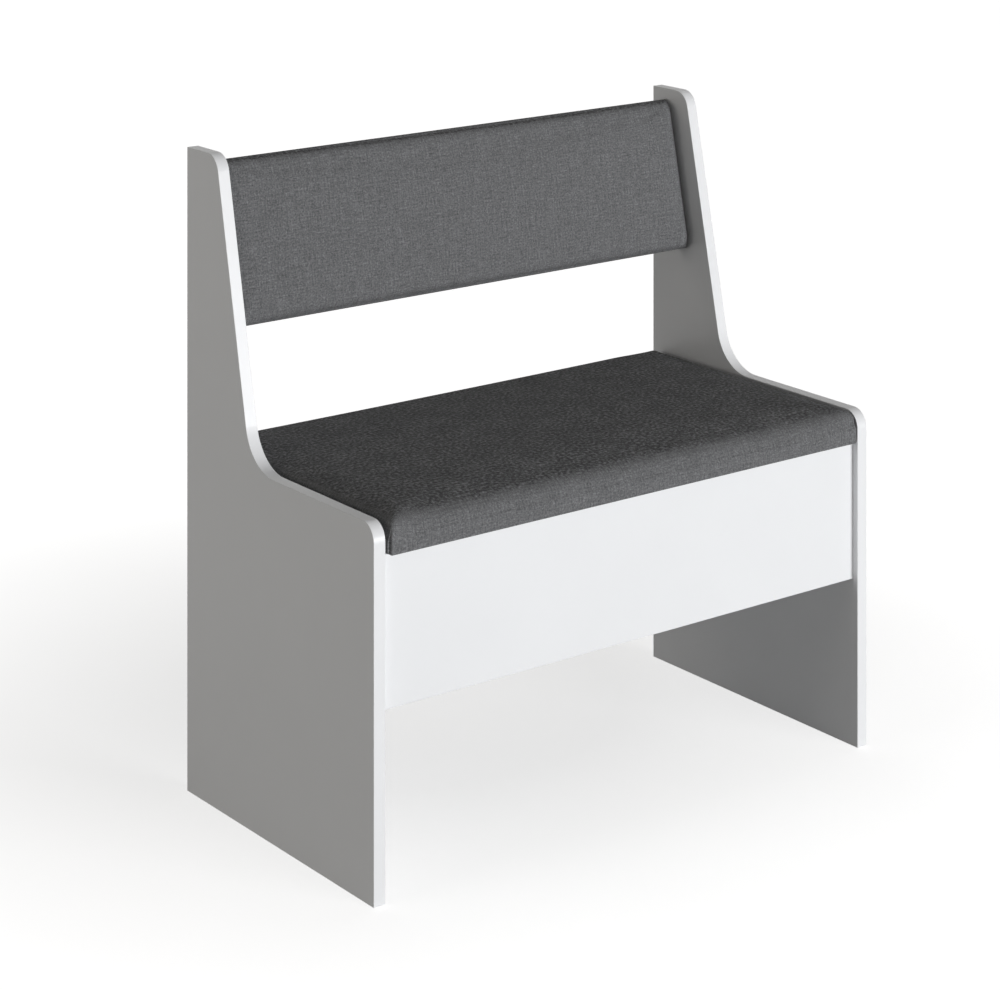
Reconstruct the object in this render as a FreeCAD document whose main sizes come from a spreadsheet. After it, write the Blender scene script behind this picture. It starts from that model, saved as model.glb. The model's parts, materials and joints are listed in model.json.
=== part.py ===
import FreeCAD, Part
import Sketcher
import math
import os
import re
from FreeCAD import Placement, Rotation, Vector

# Storage bench with a lift-up upholstered seat and a leaning upholstered backrest.
# Frame: X across the bench, front at minus Y, Z up, origin on the floor under the middle of the outline.

# Driving sizes, in millimetres and degrees
SIZES = {
    # side panels
    "bench_width": 766,
    "bench_depth": 415,
    "bench_height": 800,
    "board_thick": 16,
    "band_thick": 1,
    "band_round": 0.6,
    "arm_height": 433,
    "top_depth": 70,
    "lean_angle": 12.3,
    "nose_radius": 22,
    "lap_radius": 62,
    "head_radius": 25,
    # chest
    "chest_bottom": 216,
    "front_recess": 9,
    "rear_setback": 28,
    "floor_raise": 10,
    "lid_height": 394.5,
    "lid_gap": 0.4,
    # upholstery in general
    "cover_thick": 1,
    "turn_in": 48,
    "draw_in": 2,
    "end_crown": 1,
    "least_side": 1,
    # seat
    "seat_overhang": 4.5,
    "seat_back_gap": 10.5,
    "seat_side_gap": 5.5,
    "seat_thick": 42.5,
    "seat_crown": 3.5,
    "seat_roll": 20,
    "seat_end_round": 10,
    # backrest
    "rest_recess": 22.5,
    "rest_drop": 5.5,
    "rest_height": 205,
    "rest_side_gap": 1,
    "rest_thick": 38,
    "rest_crown": 3.5,
    "rest_roll": 13,
    "rest_end_round": 12,
    "lining_thick": 0.8,
    "lining_margin": 4,
    # dowels and cam fittings
    "fitting_margin": 32,
    "dowel_radius": 4,
    "dowel_length": 30,
    "dowel_in_side": 10,
    "dowel_end_gap": 1,
    "dowel_chamfer": 1,
    "cam_radius": 7.5,
    "cam_depth": 12.5,
    "cam_clear": 0.1,
    "cam_setback": 34,
    "cam_slot_radius": 3.4,
    "drive_length": 8,
    "drive_width": 1.6,
    "drive_depth": 2.5,
    "bolt_thread_radius": 2.5,
    "bolt_thread_length": 11,
    "bolt_shaft_radius": 3,
    "bolt_neck_radius": 2,
    "bolt_neck_length": 4,
    "bolt_head_length": 4,
    "bolt_bore_radius": 3.5,
    # hinges, brackets and their screws
    "plate_thick": 2,
    "hinge_spacing": 440,
    "hinge_width": 60,
    "leaf_length": 32,
    "knuckle_length": 20,
    "knuckle_gap": 0.4,
    "barrel_radius": 4,
    "hinge_clear": 0.3,
    "pin_radius": 2,
    "pin_clear": 0.05,
    "leaf_screw_offset": 20,
    "leaf_screw_spacing": 22,
    "bracket_leg": 18,
    "bracket_width": 16,
    "bracket_spacing": 110,
    "bracket_screw_offset": 11,
    "screw_radius": 1.75,
    "screw_head_radius": 3.5,
    "screw_length": 14,
    "recess_length": 4,
    "recess_width": 0.9,
    "recess_depth": 1.2,
}

# Places, as formulas of the sizes
INNER = "(bench_width / 2 - board_thick)"
FRONT_EDGE = "((seat_overhang - bench_depth) / 2)"
BACK_EDGE = "((seat_overhang + bench_depth) / 2)"
FRONT_FACE = f"({FRONT_EDGE} + front_recess)"
FRONT_INSIDE = f"({FRONT_FACE} + board_thick)"
REAR_FACE = f"({BACK_EDGE} - rear_setback)"
REAR_INSIDE = f"({REAR_FACE} - board_thick)"
FRONT_TOP = "(lid_height - lid_gap)"
REAR_TOP = "(lid_height - plate_thick - lid_gap)"
FLOOR_BOTTOM = "(chest_bottom + floor_raise)"
FLOOR_TOP = f"({FLOOR_BOTTOM} + board_thick)"
AXIS_Y = f"({REAR_FACE} + barrel_radius + hinge_clear)"
AXIS_Z = "(lid_height - barrel_radius - hinge_clear)"

# The seat and the backrest are each drawn as a pad lying on its board: X along it, Y across it, Z out of it
BOARD_TOP = "(cover_thick + board_thick)"
SEAT_LENGTH = f"(2 * ({INNER} - seat_side_gap))"
SEAT_BREADTH = "(bench_depth + seat_overhang - seat_back_gap)"
SEAT_MIDDLE = "(-seat_back_gap / 2)"
REST_LENGTH = f"(2 * ({INNER} - rest_side_gap))"
REST_DEPTH = "(rest_recess + rest_thick)"
REST_DOWN = "(rest_drop + rest_height / 2)"
REST_Y = f"({BACK_EDGE} - top_depth + {REST_DEPTH} * cos(lean_angle) - {REST_DOWN} * sin(lean_angle))"
REST_Z = f"(bench_height - {REST_DEPTH} * sin(lean_angle) - {REST_DOWN} * cos(lean_angle))"

SIDES = {"left": -1, "right": 1}
TOUCHING = 1e-6
RIGHTWARD = Vector(1, 0, 0)
REARWARD = Vector(0, 1, 0)
UPWARD = Vector(0, 0, 1)

doc = FreeCAD.newDocument("StorageBench")
sheet = doc.addObject("Spreadsheet::Sheet", "Sizes")
for row, (alias, amount) in enumerate(SIZES.items(), start=1):
    sheet.set(f"A{row}", alias)
    sheet.set(f"B{row}", str(amount))
    sheet.setAlias(f"B{row}", alias)
doc.recompute()

nodes = []


# Helpers

def tied(formula):
    """The formula with each size's name pointing at its cell."""
    return re.sub(r"[a-z_]+", lambda word: f"Sizes.{word[0]}" if word[0] in SIZES else word[0], formula)


def value(formula):
    """The number that a formula of the sizes gives now."""
    result = sheet.evalExpression(formula)
    return float(getattr(result, "Value", result))


def move(piece, place):
    """Tie a piece's position to three formulas."""
    for axis, formula in zip("xyz", place):
        piece.setExpression(f"Placement.Base.{axis}", tied(formula))
    return piece


def lean(piece):
    """Stand a piece that is drawn in the backrest's pad frame in its leaning place."""
    piece.Placement = Placement(Vector(), Rotation(RIGHTWARD, value("90 - lean_angle")))
    piece.setExpression("Placement.Rotation.Angle", tied("90 - lean_angle"))
    return move(piece, ("0", REST_Y, REST_Z))


def box(name, low, high):
    """A block between two corners, each given by three formulas."""
    block = doc.addObject("Part::Box", name)
    for side, start, end in zip(("Length", "Width", "Height"), low, high):
        block.setExpression(side, tied(f"({end}) - ({start})"))
    return move(block, low)


def rod(name, radius, length, place=("0", "0", "0"), toward=UPWARD):
    """A round bar that starts at a place and points along toward."""
    bar = doc.addObject("Part::Cylinder", name)
    bar.setExpression("Radius", tied(radius))
    bar.setExpression("Height", tied(length))
    bar.Placement = Placement(Vector(), Rotation(UPWARD, toward))
    return move(bar, place)


def taper(name, start_radius, end_radius, length):
    """A cone along Z from the origin."""
    cone = doc.addObject("Part::Cone", name)
    cone.setExpression("Radius1", tied(start_radius))
    cone.setExpression("Radius2", tied(end_radius))
    cone.setExpression("Height", tied(length))
    return cone


def join(name, members):
    """Members melted into one solid."""
    whole = doc.addObject("Part::MultiFuse", name)
    whole.Shapes = members
    return whole


def group(name, members):
    """Members kept as separate solids."""
    bundle = doc.addObject("Part::Compound", name)
    bundle.Links = members
    return bundle


def carve(name, base, tools):
    """The base with every tool cut out of it."""
    result = doc.addObject("Part::Cut", name)
    result.Base = base
    result.Tool = group(f"{name}_tools", tools)
    return result


def copy_of(master, place, toward=UPWARD):
    """A copy of a piece drawn along Z, moved to a place and pointed along toward."""
    link = doc.addObject("App::Link", f"{master.Name}_copy")
    link.LinkedObject = master
    link.Placement = Placement(Vector(), Rotation(UPWARD, toward))
    return move(link, place)


def ease(name, base, radius, wanted):
    """The base with the wanted edges rounded."""
    doc.recompute()
    rounded = doc.addObject("Part::Fillet", name)
    rounded.Base = base
    amount = value(radius)
    rounded.Edges = [(i, amount, amount) for i, edge in enumerate(base.Shape.Edges, 1) if wanted(edge)]
    return rounded


def node(label, piece):
    """Name a finished sub-part."""
    piece.Label = label
    nodes.append(piece)
    return piece


def mirrored_span(side, near, far):
    """Low and high X of a stretch from near to far of the middle, on one side of it."""
    return (near, far) if side > 0 else (f"-({far})", f"-({near})")


# Side panels. In a sketch, a curve's ends are numbered, and so are the origin and the level axis.

START, END = 1, 2
ORIGIN = LEVEL_AXIS = -1


def corner_round(before, corner, after, radius):
    """Where a corner's round leaves the line before it and meets the line after it, and its centre."""
    inward = (before - corner).normalize()
    outward = (after - corner).normalize()
    half_angle = inward.getAngle(outward) / 2
    reach = radius / math.tan(half_angle)
    middle = (inward + outward).normalize()
    centre = corner + middle * (radius / math.sin(half_angle))
    return corner + inward * reach, corner + outward * reach, centre


def round_arc(start, end, centre, radius):
    """The arc of a sketch that runs counter-clockwise from start to end."""
    angles = [math.atan2(point.y - centre.y, point.x - centre.x) for point in (start, end)]
    return Part.ArcOfCircle(Part.Circle(centre, UPWARD, radius), *angles)


def side_outline(body, inset):
    """Sketch of a side panel's outline, drawn in by inset on every edge but the bottom one."""
    sketch = body.newObject("Sketcher::SketchObject", f"{body.Name}_outline")
    plane = next(item for item in body.Origin.OriginFeatures if item.Role == "YZ_Plane")
    sketch.AttachmentSupport = [(plane, "")]
    sketch.MapMode = "FlatFace"
    front = f"({FRONT_EDGE} + {inset})"
    back = f"({BACK_EDGE} - {inset})"
    top = f"(bench_height - {inset})"
    arm = f"(arm_height - {inset})"
    head = f"({BACK_EDGE} - top_depth + {inset} * (1 / cos(lean_angle) - tan(lean_angle)))"
    lap = f"({head} - (bench_height - arm_height) * tan(lean_angle))"
    radii = {
        "head": f"head_radius - {inset}",
        "lap": f"lap_radius + {inset}",
        "nose": f"nose_radius - {inset}",
    }

    toe, heel, crest, head_corner, lap_corner, nose_corner = (
        Vector(value(y), value(z), 0)
        for y, z in ((front, "0"), (back, "0"), (back, top), (head, top), (lap, arm), (front, arm))
    )
    head_in, head_out, head_centre = corner_round(crest, head_corner, lap_corner, value(radii["head"]))
    lap_in, lap_out, lap_centre = corner_round(head_corner, lap_corner, nose_corner, value(radii["lap"]))
    nose_in, nose_out, nose_centre = corner_round(lap_corner, nose_corner, toe, value(radii["nose"]))
    bottom_line, back_line, top_line, head_arc, slope_line, lap_arc, arm_line, nose_arc, front_line, mark = (
        sketch.addGeometry(shape)
        for shape in (
            Part.LineSegment(toe, heel),
            Part.LineSegment(heel, crest),
            Part.LineSegment(crest, head_in),
            round_arc(head_in, head_out, head_centre, value(radii["head"])),
            Part.LineSegment(lap_in, head_out),
            round_arc(lap_out, lap_in, lap_centre, value(radii["lap"])),
            Part.LineSegment(lap_out, nose_in),
            round_arc(nose_in, nose_out, nose_centre, value(radii["nose"])),
            Part.LineSegment(nose_out, toe),
            Part.Point(head_corner),
        )
    )
    sketch.toggleConstruction(mark)

    for rule in (
        ("Coincident", bottom_line, END, back_line, START),
        ("Coincident", back_line, END, top_line, START),
        ("Coincident", front_line, END, bottom_line, START),
        ("Tangent", top_line, END, head_arc, START),
        ("Tangent", head_arc, END, slope_line, END),
        ("Tangent", slope_line, START, lap_arc, END),
        ("Tangent", lap_arc, START, arm_line, START),
        ("Tangent", arm_line, END, nose_arc, START),
        ("Tangent", nose_arc, END, front_line, START),
        ("Horizontal", bottom_line),
        ("Horizontal", top_line),
        ("Horizontal", arm_line),
        ("Vertical", back_line),
        ("Vertical", front_line),
        ("PointOnObject", bottom_line, START, LEVEL_AXIS),
        ("PointOnObject", mark, START, top_line),
        ("PointOnObject", mark, START, slope_line),
    ):
        sketch.addConstraint(Sketcher.Constraint(*rule))
    for name, formula, rule in (
        ("front", f"-{front}", ("DistanceX", bottom_line, START, ORIGIN, START)),
        ("back", back, ("DistanceX", ORIGIN, START, back_line, START)),
        ("top", top, ("DistanceY", ORIGIN, START, top_line, START)),
        ("arm", arm, ("DistanceY", ORIGIN, START, arm_line, START)),
        ("head_place", head, ("DistanceX", ORIGIN, START, mark, START)),
        ("slope", "90 - lean_angle", ("Angle", slope_line)),
        ("head_round", radii["head"], ("Radius", head_arc)),
        ("lap_round", radii["lap"], ("Radius", lap_arc)),
        ("nose_round", radii["nose"], ("Radius", nose_arc)),
    ):
        amount = value(formula)
        if rule[0] == "Angle":
            amount = math.radians(amount)
        index = sketch.addConstraint(Sketcher.Constraint(*rule, amount))
        sketch.renameConstraint(index, name)
        sketch.setExpression(f"Constraints.{name}", tied(formula))
    return sketch


def side_blank(name, inset, edge_round=None):
    """A side panel's outline raised to the board's thickness, from X zero."""
    body = doc.addObject("PartDesign::Body", name)
    sketch = side_outline(body, inset)
    pad = body.newObject("PartDesign::Pad", f"{name}_pad")
    pad.Profile = sketch
    pad.setExpression("Length", tied("board_thick"))
    doc.recompute()
    if edge_round:
        rounded = body.newObject("PartDesign::Fillet", f"{name}_round")
        rounded.Base = (pad, [f"Edge{i}" for i, edge in enumerate(pad.Shape.Edges, 1) if on_rim(edge)])
        rounded.setExpression("Radius", tied(edge_round))
        doc.recompute()
    return body


def on_rim(edge):
    """True for an edge round a side face, apart from the bottom one."""
    box_of_edge = edge.BoundBox
    return box_of_edge.XLength < TOUCHING and box_of_edge.ZMax > TOUCHING


# Fittings and screws, each drawn once along Z from the origin

def dowel_master():
    """A round wooden dowel with both ends chamfered."""
    straight = rod("dowel_bar", "dowel_radius", "dowel_length")
    doc.recompute()
    dowel = doc.addObject("Part::Chamfer", "dowel_master")
    dowel.Base = straight
    amount = value("dowel_chamfer")
    rims = [i for i, edge in enumerate(straight.Shape.Edges, 1) if edge.Closed]
    dowel.Edges = [(i, amount, amount) for i in rims]
    return dowel


def bolt_master():
    """A cam bolt: thread for the side panel, shaft, neck and the head that the cam pulls."""
    head_start = "(bolt_thread_length + cam_setback - bolt_head_length / 2)"
    neck_start = f"({head_start} - bolt_neck_length)"
    stretches = (
        ("thread", "bolt_thread_radius", "0", "bolt_thread_length"),
        ("shaft", "bolt_shaft_radius", "bolt_thread_length", neck_start),
        ("neck", "bolt_neck_radius", neck_start, head_start),
        ("head", "bolt_shaft_radius", head_start, f"{head_start} + bolt_head_length"),
    )
    return join("bolt_master", [
        rod(f"bolt_{stretch}", radius, f"({end}) - ({start})", ("0", "0", start))
        for stretch, radius, start, end in stretches
    ])


def cross_recess(name, top, length, width, depth):
    """Two crossed slots sunk from the level top, for a screwdriver."""
    long_way = (f"{length} / 2", f"{width} / 2")
    return [
        box(f"{name}_{turn}", (f"-{half_x}", f"-{half_y}", f"{top} - {depth}"), (half_x, half_y, top))
        for turn, (half_x, half_y) in (("along", long_way), ("across", long_way[::-1]))
    ]


def cam_master():
    """A cam lock that sits in its pocket with the mouth up, bored for the bolt at mid board."""
    drum = rod("cam_drum", "cam_radius", "cam_depth")
    slot = rod("cam_slot", "cam_slot_radius", "4 * cam_radius",
               ("-2 * cam_radius", "0", "cam_depth - board_thick / 2"), RIGHTWARD)
    drive = cross_recess("cam_drive", "cam_depth", "drive_length", "drive_width", "drive_depth")
    return carve("cam_master", drum, [slot] + drive)


def screw_masters():
    """A countersunk screw, head at the origin, and the same without its recess for cutting holes."""
    head = taper("screw_head", "screw_head_radius", "screw_radius", "plate_thick")
    shank = rod("screw_shank", "screw_radius", "screw_length - plate_thick", ("0", "0", "plate_thick"))
    blank = join("screw_blank", [head, shank])
    recess = cross_recess("screw_recess", "recess_depth", "recess_length", "recess_width", "recess_depth")
    return carve("screw_master", blank, recess), blank


dowel = dowel_master()
bolt = bolt_master()
cam = cam_master()
screw, screw_blank = screw_masters()
dowel_hole = rod("dowel_hole", "dowel_radius", "dowel_length + 2 * dowel_end_gap")
bolt_hole = rod("bolt_hole", "bolt_thread_radius", "bolt_thread_length")
bolt_bore = rod("bolt_bore", "bolt_bore_radius", "cam_setback")
cam_pocket = rod("cam_pocket", "cam_radius + cam_clear", "cam_depth")

# Where the chest's boards meet the side panels: dowel places, cam place, the cam's mouth and its outlook
FRONT_LINE = f"({FRONT_FACE} + board_thick / 2)"
REAR_LINE = f"({REAR_INSIDE} + board_thick / 2)"
FLOOR_LINE = f"({FLOOR_BOTTOM} + board_thick / 2)"
CHEST_MIDDLE = f"(({FRONT_INSIDE} + {REAR_INSIDE}) / 2)"
FITTINGS = {
    "front": {
        "dowels": [
            (FRONT_LINE, "chest_bottom + fitting_margin"),
            (FRONT_LINE, f"{FRONT_TOP} - fitting_margin"),
        ],
        "cam": (FRONT_LINE, f"(chest_bottom + {FRONT_TOP}) / 2"),
        "mouth": REARWARD,
    },
    "rear": {
        "dowels": [
            (REAR_LINE, "chest_bottom + fitting_margin"),
            (REAR_LINE, f"{REAR_TOP} - fitting_margin"),
        ],
        "cam": (REAR_LINE, f"(chest_bottom + {REAR_TOP}) / 2"),
        "mouth": REARWARD.negative(),
    },
    "floor": {
        "dowels": [
            (f"{FRONT_INSIDE} + fitting_margin", FLOOR_LINE),
            (f"{REAR_INSIDE} - fitting_margin", FLOOR_LINE),
        ],
        "cam": (CHEST_MIDDLE, FLOOR_LINE),
        "mouth": UPWARD.negative(),
    },
}

dowels = []
bolts = []
cams = []
side_tools = {side: [] for side in SIDES}
board_tools = {board: [] for board in FITTINGS}
for side, sign in SIDES.items():
    inward = RIGHTWARD * -sign
    for board, fitting in FITTINGS.items():
        for y, z in fitting["dowels"]:
            dowels.append(copy_of(dowel, (f"{sign} * ({INNER} + dowel_in_side)", y, z), inward))
            hole_start = f"{sign} * ({INNER} + dowel_in_side + dowel_end_gap)"
            hole = copy_of(dowel_hole, (hole_start, y, z), inward)
            side_tools[side].append(hole)
            board_tools[board].append(hole)
        y, z = fitting["cam"]
        bolt_start = f"{sign} * ({INNER} + bolt_thread_length)"
        bolts.append(copy_of(bolt, (bolt_start, y, z), inward))
        side_tools[side].append(copy_of(bolt_hole, (bolt_start, y, z), inward))
        board_tools[board].append(copy_of(bolt_bore, (f"{sign} * {INNER}", y, z), inward))
        sunk = "(cam_depth - board_thick / 2)"
        mouth = fitting["mouth"]
        cam_place = (
            f"{sign} * ({INNER} - cam_setback)",
            f"{y} - {mouth.y} * {sunk}",
            f"{z} - {mouth.z} * {sunk}",
        )
        cams.append(copy_of(cam, cam_place, mouth))
        board_tools[board].append(copy_of(cam_pocket, cam_place, mouth))
node("dowels", group("dowels", dowels))
node("cam_bolts", group("cam_bolts", bolts))
node("cam_locks", group("cam_locks", cams))

# Hinges: the barrels lie behind the rear panel's top edge, one leaf on that panel and one under the seat

HALF_HINGE = "hinge_width / 2"
HALF_KNUCKLE = "knuckle_length / 2"


def barrel(name, low, high):
    """A stretch of hinge barrel round the axis, from low to high along X."""
    return rod(name, "barrel_radius", f"({high}) - ({low})", (low, AXIS_Y, AXIS_Z), RIGHTWARD)


def pin_bore(name, radius):
    """The bore that the hinge pin lies in."""
    return rod(name, radius, "hinge_width", (f"-{HALF_HINGE}", AXIS_Y, AXIS_Z), RIGHTWARD)


def leaf_screw_places(y, z):
    """Three screws in a row on a leaf, about the hinge's middle."""
    return [(f"{step} * leaf_screw_spacing", y, z) for step in (-1, 0, 1)]


panel_screw_places = leaf_screw_places(f"{REAR_FACE} + plate_thick", f"{AXIS_Z} - leaf_screw_offset")
lid_screw_places = leaf_screw_places(f"{AXIS_Y} - leaf_screw_offset", "lid_height - plate_thick")


def fixed_leaf_master():
    """Leaf on the rear panel, with the two outer knuckles."""
    clear = f"{HALF_KNUCKLE} + knuckle_gap"
    plate = box("fixed_plate", (f"-{HALF_HINGE}", REAR_FACE, f"{AXIS_Z} - leaf_length"),
                (HALF_HINGE, f"{REAR_FACE} + plate_thick", AXIS_Z))
    notch = box("fixed_notch", (f"-({clear})", REAR_FACE, f"{AXIS_Z} - barrel_radius - knuckle_gap"),
                (clear, f"{AXIS_Y} + barrel_radius", f"{AXIS_Z} + barrel_radius"))
    knuckles = [
        barrel("fixed_knuckle_left", f"-{HALF_HINGE}", f"-({clear})"),
        barrel("fixed_knuckle_right", clear, HALF_HINGE),
    ]
    holes = [copy_of(screw_blank, place, REARWARD.negative()) for place in panel_screw_places]
    whole = join("fixed_leaf_whole", [plate] + knuckles)
    return carve("fixed_leaf_master", whole, [notch, pin_bore("fixed_bore", "pin_radius")] + holes)


def moving_leaf_master():
    """Leaf under the seat, with the middle knuckle."""
    plate = box("moving_plate", (f"-{HALF_HINGE}", f"{AXIS_Y} - leaf_length", "lid_height - plate_thick"),
                (HALF_HINGE, AXIS_Y, "lid_height"))
    notches = []
    for side, sign in SIDES.items():
        low, high = mirrored_span(sign, HALF_KNUCKLE, HALF_HINGE)
        notches.append(box(f"moving_notch_{side}", (low, f"{AXIS_Y} - barrel_radius - knuckle_gap", AXIS_Z),
                           (high, f"{AXIS_Y} + barrel_radius", "lid_height")))
    knuckle = barrel("moving_knuckle", f"-{HALF_KNUCKLE}", HALF_KNUCKLE)
    holes = [copy_of(screw_blank, place, UPWARD) for place in lid_screw_places]
    whole = join("moving_leaf_whole", [plate, knuckle])
    bore = pin_bore("moving_bore", "pin_radius + pin_clear")
    return carve("moving_leaf_master", whole, notches + [bore] + holes)


fixed_leaf = fixed_leaf_master()
moving_leaf = moving_leaf_master()
pin = pin_bore("pin_master", "pin_radius")
panel_screws = []
panel_screw_holes = []
lid_screws = []
lid_screw_holes = []
for side, sign in SIDES.items():
    at_hinge = f"{sign} * hinge_spacing / 2"
    for piece, master in (("fixed_leaf", fixed_leaf), ("moving_leaf", moving_leaf)):
        node(f"{side}_hinge_{piece}", group(f"{side}_{piece}", [copy_of(master, (at_hinge, "0", "0"))]))
    pin_start = f"{at_hinge} - {HALF_HINGE}"
    node(f"{side}_hinge_pin", group(f"{side}_pin", [copy_of(pin, (pin_start, AXIS_Y, AXIS_Z), RIGHTWARD)]))
    for places, toward, screws, holes in (
        (panel_screw_places, REARWARD.negative(), panel_screws, panel_screw_holes),
        (lid_screw_places, UPWARD, lid_screws, lid_screw_holes),
    ):
        for x, y, z in places:
            screws.append(copy_of(screw, (f"{at_hinge} + {x}", y, z), toward))
            holes.append(copy_of(screw_blank, (f"{at_hinge} + {x}", y, z), toward))
node("hinge_panel_screws", group("hinge_panel_screws", panel_screws))
node("hinge_lid_screws", group("hinge_lid_screws", lid_screws))

# Chest boards between the side panels, with edge bands on the long edges of the upright ones

def upright_board(name, face, inside, top, extra_tools):
    """A chest wall between the side panels, and the bands on its bottom and top edges."""
    low = (f"-{INNER}", face)
    high = (INNER, inside)
    board = box(f"{name}_blank", low + ("chest_bottom + band_thick",), high + (f"{top} - band_thick",))
    node(f"{name}_panel", carve(f"{name}_panel", board, board_tools[name] + extra_tools))
    bands = []
    for edge, start, end, outer in (
        ("bottom", "chest_bottom", "chest_bottom + band_thick", "chest_bottom"),
        ("top", f"{top} - band_thick", top, top),
    ):
        strip = box(f"{name}_{edge}_strip", low + (start,), high + (end,))
        level = value(outer)
        bands.append(ease(f"{name}_{edge}_band", strip, "band_round", lambda e: along_x_at(e, level)))
    node(f"{name}_panel_edge_bands", group(f"{name}_bands", bands))


def along_x_at(edge, level):
    """True for an edge along X at a height."""
    box_of_edge = edge.BoundBox
    at_level = max(abs(box_of_edge.ZMin - level), abs(box_of_edge.ZMax - level)) < TOUCHING
    return at_level and box_of_edge.YLength < TOUCHING


upright_board("front", FRONT_FACE, FRONT_INSIDE, FRONT_TOP, [])
upright_board("rear", REAR_INSIDE, REAR_FACE, REAR_TOP, panel_screw_holes)
floor_blank = box("floor_blank", (f"-{INNER}", FRONT_INSIDE, FLOOR_BOTTOM), (INNER, REAR_INSIDE, FLOOR_TOP))
node("chest_floor", carve("chest_floor", floor_blank, board_tools["floor"]))

# Upholstered pads: a board, foam on it, and a cover drawn round both and turned in behind the board

END_STEPS = (90, 60, 30, 0)
SHARES = (0.5, 0, -0.5)


def pad_section(x, half, low, top, roll, rise, drawn):
    """Outline across a pad at X: upright by the board, drawn in above it, rolled edges, crowned top."""
    board_top = value(BOARD_TOP)
    roll = min(roll, top - board_top - value("least_side"))
    edge = half - drawn
    bend = roll * math.sqrt(0.5)
    right = [
        Vector(x, half, low),
        Vector(x, half, board_top),
        Vector(x, edge, top - roll),
        Vector(x, edge - roll + bend, top - roll + bend),
        Vector(x, edge - roll, top),
    ]
    left = [Vector(x, -point.y, point.z) for point in right]
    crest = Vector(x, 0, top + rise)
    curves = [
        Part.LineSegment(left[0], right[0]),
        Part.LineSegment(right[0], right[1]),
        Part.LineSegment(right[1], right[2]),
        Part.Arc(right[2], right[3], right[4]),
        Part.Arc(right[4], crest, left[4]),
        Part.Arc(left[4], left[3], left[2]),
        Part.LineSegment(left[2], left[1]),
        Part.LineSegment(left[1], left[0]),
    ]
    return Part.Wire([curve.toShape() for curve in curves])


def pad_form(name, length, breadth, thick, crown, roll, end_round, inset):
    """The solid of a whole pad, drawn in by inset all round: rounded ends, crown and drawn-in sides."""
    half_length = value(f"{length} / 2 - {inset}")
    half_breadth = value(f"{breadth} / 2 - {inset}")
    low = value(inset)
    top = value(f"{thick} - {inset}")
    end_radius = value(f"{end_round} - {inset}")
    roll_radius = value(f"{roll} - {inset}")
    stations = []
    for step in END_STEPS:
        angle = math.radians(step)
        inward = end_radius * (1 - math.sin(angle))
        drop = end_radius * (1 - math.cos(angle))
        stations.append((half_length - inward, drop))
    right_end = list(stations)
    stations += [(share * half_length, 0) for share in SHARES]
    stations += [(-x, drop) for x, drop in reversed(right_end)]
    wires = []
    for x, drop in stations:
        fullness = 1 - (x / half_length) ** 2
        rise = value("end_crown") + value(f"{crown} - end_crown") * fullness
        drawn = value("draw_in") * fullness
        wires.append(pad_section(x, half_breadth, low, top - drop, roll_radius, rise, drawn))
    form = doc.addObject("Part::Feature", name)
    form.Shape = Part.makeLoft(wires, True, True)
    return form


def pad_pieces(name, length, breadth, thick, crown, roll, end_round, place, screw_holes):
    """Board, foam and cover of a pad, in that order, each drawn at a place with its screw holes."""
    x, y, z = place
    shape = (length, breadth, thick, crown, roll, end_round)
    outer = move(pad_form(f"{name}_outer_form", *shape, "0"), place)
    inner = move(pad_form(f"{name}_inner_form", *shape, "cover_thick"), place)
    half_length = f"({length} / 2 - cover_thick)"
    half_breadth = f"({breadth} / 2 - cover_thick)"
    board_low = f"{z} + cover_thick"
    board_high = f"{z} + {BOARD_TOP}"
    corners = (f"-{half_length}", f"{y} - {half_breadth}"), (half_length, f"{y} + {half_breadth}")
    board = box(f"{name}_board_blank", corners[0] + (board_low,), corners[1] + (board_high,))
    slab = box(f"{name}_slab", (f"-{length}", f"{y} - {breadth}", f"{z} - {thick}"),
               (length, f"{y} + {breadth}", board_high))
    opening = box(
        f"{name}_opening",
        (f"-({length} / 2 - turn_in)", f"{y} - ({breadth} / 2 - turn_in)", f"{z} - cover_thick"),
        (f"{length} / 2 - turn_in", f"{y} + {breadth} / 2 - turn_in", f"{z} + 2 * cover_thick"),
    )
    return (
        carve(f"{name}_board", board, screw_holes),
        carve(f"{name}_foam", inner, [slab]),
        carve(f"{name}_cover", outer, [inner, opening] + screw_holes),
    )


seat_pieces = pad_pieces("seat", SEAT_LENGTH, SEAT_BREADTH, "seat_thick", "seat_crown", "seat_roll",
                         "seat_end_round", ("0", SEAT_MIDDLE, "lid_height"), lid_screw_holes)
for label, piece in zip(("seat_board", "seat_foam", "seat_cover"), seat_pieces):
    node(label, piece)

# Backrest brackets, drawn in the backrest's pad frame: one leg on the lining, one on the side panel

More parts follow.
